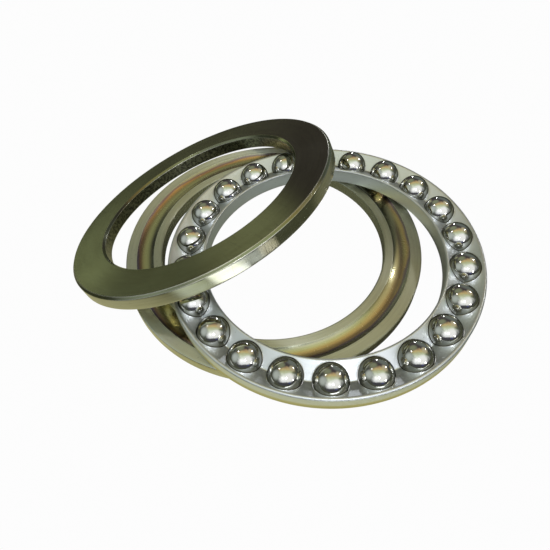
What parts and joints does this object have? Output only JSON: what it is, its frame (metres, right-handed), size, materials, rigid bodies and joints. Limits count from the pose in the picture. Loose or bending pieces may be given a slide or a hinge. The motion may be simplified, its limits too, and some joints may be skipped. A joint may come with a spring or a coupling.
{
  "type": "thrust ball bearing",
  "caption": "Single-direction thrust ball bearing laid out in its separate rings: grooved housing washer, pressed cage of balls, and shaft washer leaning on them.",
  "frame": {"origin": "centre of the housing washer's back face, on its own axis", "axes": "+Z along the axes of the housing washer and the cage, pointing up out of the raceway; +X from the housing washer's centre towards the cage's centre; the layout is symmetrical about the XZ plane, and the shaft washer leans on the -X side"},
  "size_m": [0.1972, 0.135, 0.0618],
  "materials": {
    "housing_steel": "ground bearing steel, lapped raceway with a light oil tint",
    "shaft_steel": "dark ground bearing steel under an oil film",
    "cage_steel": "pressed sheet steel, satin",
    "ball_steel": "polished bearing steel"
  },
  "bodies": {
    "housing_washer": {"housing_washer": "housing_steel"},
    "cage": {"cage": "cage_steel"},
    "shaft_washer": {"shaft_washer": "shaft_steel"},
    "ball_01": {"ball_01": "ball_steel"},
    "ball_02": {"ball_02": "ball_steel"},
    "ball_03": {"ball_03": "ball_steel"},
    "ball_04": {"ball_04": "ball_steel"},
    "ball_05": {"ball_05": "ball_steel"},
    "ball_06": {"ball_06": "ball_steel"},
    "ball_07": {"ball_07": "ball_steel"},
    "ball_08": {"ball_08": "ball_steel"},
    "ball_09": {"ball_09": "ball_steel"},
    "ball_10": {"ball_10": "ball_steel"},
    "ball_11": {"ball_11": "ball_steel"},
    "ball_12": {"ball_12": "ball_steel"},
    "ball_13": {"ball_13": "ball_steel"},
    "ball_14": {"ball_14": "ball_steel"},
    "ball_15": {"ball_15": "ball_steel"},
    "ball_16": {"ball_16": "ball_steel"},
    "ball_17": {"ball_17": "ball_steel"},
    "ball_18": {"ball_18": "ball_steel"},
    "ball_19": {"ball_19": "ball_steel"},
    "ball_20": {"ball_20": "ball_steel"},
    "ball_21": {"ball_21": "ball_steel"},
    "ball_22": {"ball_22": "ball_steel"}
  },
  "joints": [
    {"name": "shaft_washer_spin", "type": "hinge", "parent": "housing_washer", "child": "shaft_washer", "pos_m": [-0.0427, 0, 0.01615], "axis": [-0.4163, 0, 0.9092], "continuous": true},
    {"name": "cage_spin", "type": "hinge", "parent": "housing_washer", "child": "cage", "pos_m": [0.0264, 0, 0.01389], "axis": [0, 0, 1], "continuous": true},
    {"name": "ball_01_roll", "type": "hinge", "parent": "cage", "child": "ball_01", "pos_m": [0.08479, 0.00645, 0.01389], "axis": [-0.994, -0.1097, 0], "continuous": true},
    {"name": "ball_02_roll", "type": "hinge", "parent": "cage", "child": "ball_02", "pos_m": [0.08061, 0.02264, 0.01389], "axis": [-0.9228, -0.3853, 0], "continuous": true},
    {"name": "ball_03_roll", "type": "hinge", "parent": "cage", "child": "ball_03", "pos_m": [0.07204, 0.03699, 0.01389], "axis": [-0.7768, -0.6297, 0], "continuous": true},
    {"name": "ball_04_roll", "type": "hinge", "parent": "cage", "child": "ball_04", "pos_m": [0.05977, 0.04835, 0.01389], "axis": [-0.568, -0.823, 0], "continuous": true},
    {"name": "ball_05_roll", "type": "hinge", "parent": "cage", "child": "ball_05", "pos_m": [0.04479, 0.0558, 0.01389], "axis": [-0.3131, -0.9497, 0], "continuous": true},
    {"name": "ball_06_roll", "type": "hinge", "parent": "cage", "child": "ball_06", "pos_m": [0.02833, 0.05872, 0.01389], "axis": [-0.0328, -0.9995, 0], "continuous": true},
    {"name": "ball_07_roll", "type": "hinge", "parent": "cage", "child": "ball_07", "pos_m": [0.01171, 0.05688, 0.01389], "axis": [0.2501, -0.9682, 0], "continuous": true},
    {"name": "ball_08_roll", "type": "hinge", "parent": "cage", "child": "ball_08", "pos_m": [-0.00372, 0.05044, 0.01389], "axis": [0.5127, -0.8586, 0], "continuous": true},
    {"name": "ball_09_roll", "type": "hinge", "parent": "cage", "child": "ball_09", "pos_m": [-0.01671, 0.03991, 0.01389], "axis": [0.7338, -0.6793, 0], "continuous": true},
    {"name": "ball_10_roll", "type": "hinge", "parent": "cage", "child": "ball_10", "pos_m": [-0.02621, 0.02615, 0.01389], "axis": [0.8955, -0.4451, 0], "continuous": true},
    {"name": "ball_11_roll", "type": "hinge", "parent": "cage", "child": "ball_11", "pos_m": [-0.03145, 0.01027, 0.01389], "axis": [0.9846, -0.1747, 0], "continuous": true},
    {"name": "ball_12_roll", "type": "hinge", "parent": "cage", "child": "ball_12", "pos_m": [-0.032, -0.00645, 0.01389], "axis": [0.994, 0.1097, 0], "continuous": true},
    {"name": "ball_13_roll", "type": "hinge", "parent": "cage", "child": "ball_13", "pos_m": [-0.02781, -0.02264, 0.01389], "axis": [0.9228, 0.3853, 0], "continuous": true},
    {"name": "ball_14_roll", "type": "hinge", "parent": "cage", "child": "ball_14", "pos_m": [-0.01924, -0.03699, 0.01389], "axis": [0.7768, 0.6297, 0], "continuous": true},
    {"name": "ball_15_roll", "type": "hinge", "parent": "cage", "child": "ball_15", "pos_m": [-0.00697, -0.04835, 0.01389], "axis": [0.568, 0.823, 0], "continuous": true},
    {"name": "ball_16_roll", "type": "hinge", "parent": "cage", "child": "ball_16", "pos_m": [0.00801, -0.0558, 0.01389], "axis": [0.3131, 0.9497, 0], "continuous": true},
    {"name": "ball_17_roll", "type": "hinge", "parent": "cage", "child": "ball_17", "pos_m": [0.02447, -0.05872, 0.01389], "axis": [0.0328, 0.9995, 0], "continuous": true},
    {"name": "ball_18_roll", "type": "hinge", "parent": "cage", "child": "ball_18", "pos_m": [0.04109, -0.05688, 0.01389], "axis": [-0.2501, 0.9682, 0], "continuous": true},
    {"name": "ball_19_roll", "type": "hinge", "parent": "cage", "child": "ball_19", "pos_m": [0.05652, -0.05044, 0.01389], "axis": [-0.5127, 0.8586, 0], "continuous": true},
    {"name": "ball_20_roll", "type": "hinge", "parent": "cage", "child": "ball_20", "pos_m": [0.06951, -0.03991, 0.01389], "axis": [-0.7338, 0.6793, 0], "continuous": true},
    {"name": "ball_21_roll", "type": "hinge", "parent": "cage", "child": "ball_21", "pos_m": [0.07901, -0.02615, 0.01389], "axis": [-0.8955, 0.4451, 0], "continuous": true},
    {"name": "ball_22_roll", "type": "hinge", "parent": "cage", "child": "ball_22", "pos_m": [0.08425, -0.01027, 0.01389], "axis": [-0.9846, 0.1747, 0], "continuous": true}
  ],
  "couplings": [
    {"joint": "cage_spin", "follows": "shaft_washer_spin", "ratio": 0.5},
    {"joint": "ball_01_roll", "follows": "shaft_washer_spin", "ratio": 4.3538},
    {"joint": "ball_02_roll", "follows": "shaft_washer_spin", "ratio": 4.3538},
    {"joint": "ball_03_roll", "follows": "shaft_washer_spin", "ratio": 4.3538},
    {"joint": "ball_04_roll", "follows": "shaft_washer_spin", "ratio": 4.3538},
    {"joint": "ball_05_roll", "follows": "shaft_washer_spin", "ratio": 4.3538},
    {"joint": "ball_06_roll", "follows": "shaft_washer_spin", "ratio": 4.3538},
    {"joint": "ball_07_roll", "follows": "shaft_washer_spin", "ratio": 4.3538},
    {"joint": "ball_08_roll", "follows": "shaft_washer_spin", "ratio": 4.3538},
    {"joint": "ball_09_roll", "follows": "shaft_washer_spin", "ratio": 4.3538},
    {"joint": "ball_10_roll", "follows": "shaft_washer_spin", "ratio": 4.3538},
    {"joint": "ball_11_roll", "follows": "shaft_washer_spin", "ratio": 4.3538},
    {"joint": "ball_12_roll", "follows": "shaft_washer_spin", "ratio": 4.3538},
    {"joint": "ball_13_roll", "follows": "shaft_washer_spin", "ratio": 4.3538},
    {"joint": "ball_14_roll", "follows": "shaft_washer_spin", "ratio": 4.3538},
    {"joint": "ball_15_roll", "follows": "shaft_washer_spin", "ratio": 4.3538},
    {"joint": "ball_16_roll", "follows": "shaft_washer_spin", "ratio": 4.3538},
    {"joint": "ball_17_roll", "follows": "shaft_washer_spin", "ratio": 4.3538},
    {"joint": "ball_18_roll", "follows": "shaft_washer_spin", "ratio": 4.3538},
    {"joint": "ball_19_roll", "follows": "shaft_washer_spin", "ratio": 4.3538},
    {"joint": "ball_20_roll", "follows": "shaft_washer_spin", "ratio": 4.3538},
    {"joint": "ball_21_roll", "follows": "shaft_washer_spin", "ratio": 4.3538},
    {"joint": "ball_22_roll", "follows": "shaft_washer_spin", "ratio": 4.3538}
  ]
}
